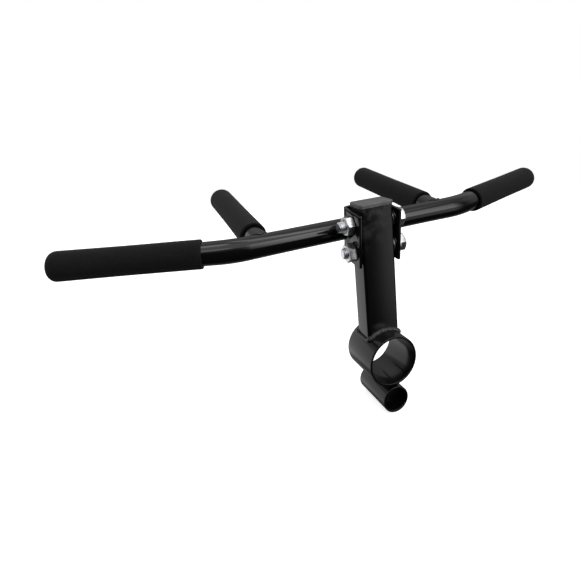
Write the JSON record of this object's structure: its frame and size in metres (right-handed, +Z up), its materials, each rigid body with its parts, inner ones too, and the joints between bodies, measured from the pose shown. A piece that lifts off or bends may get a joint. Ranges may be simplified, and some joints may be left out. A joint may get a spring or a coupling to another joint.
{
  "type": "multi-grip row handle",
  "caption": "Two-handed row handle: bent bar with foam end and rear grips, yoke bolted to a post whose foot has a large and a small bar sleeve.",
  "frame": {"origin": "on the large sleeve's bore axis, under the middle of the post", "axes": "+X right along the handlebar, +Y back towards the rear handles, +Z up along the post"},
  "size_m": [0.6606, 0.2662, 0.2442],
  "materials": {
    "gloss_black_paint": "gloss black paint on steel tube and plate",
    "satin_black_paint": "semi-gloss black paint on steel",
    "zinc_hardware": "bright zinc plate",
    "black_foam": "matt closed-cell foam rubber",
    "black_plastic": "matt moulded plastic"
  },
  "bodies": {
    "post_frame": {"large_sleeve": "satin_black_paint", "lock_bolt": "zinc_hardware", "lock_head_washer": "zinc_hardware", "lock_nut": "zinc_hardware", "lock_spacer_left": "zinc_hardware", "lock_spacer_right": "zinc_hardware", "pivot_bolt": "zinc_hardware", "pivot_head_washer": "zinc_hardware", "pivot_nut": "zinc_hardware", "pivot_spacer_left": "zinc_hardware", "pivot_spacer_right": "zinc_hardware", "post": "satin_black_paint", "post_cap": "black_plastic", "sleeve_weld_left": "satin_black_paint", "sleeve_weld_right": "satin_black_paint", "small_sleeve": "satin_black_paint"},
    "handle_frame": {"bar_plug_left": "black_plastic", "bar_plug_right": "black_plastic", "end_grip_left": "black_foam", "end_grip_right": "black_foam", "handle_plug_left": "black_plastic", "handle_plug_right": "black_plastic", "handlebar": "gloss_black_paint", "rear_grip_left": "black_foam", "rear_grip_right": "black_foam", "rear_handle_left": "gloss_black_paint", "rear_handle_right": "gloss_black_paint", "yoke_bracket": "gloss_black_paint"}
  },
  "joints": [
    {"name": "handlebar_tilt", "type": "hinge", "parent": "post_frame", "child": "handle_frame", "pos_m": [0, -0.0015, 0.1573], "axis": [1, 0, 0], "range_deg": [-12.8, 0]}
  ]
}
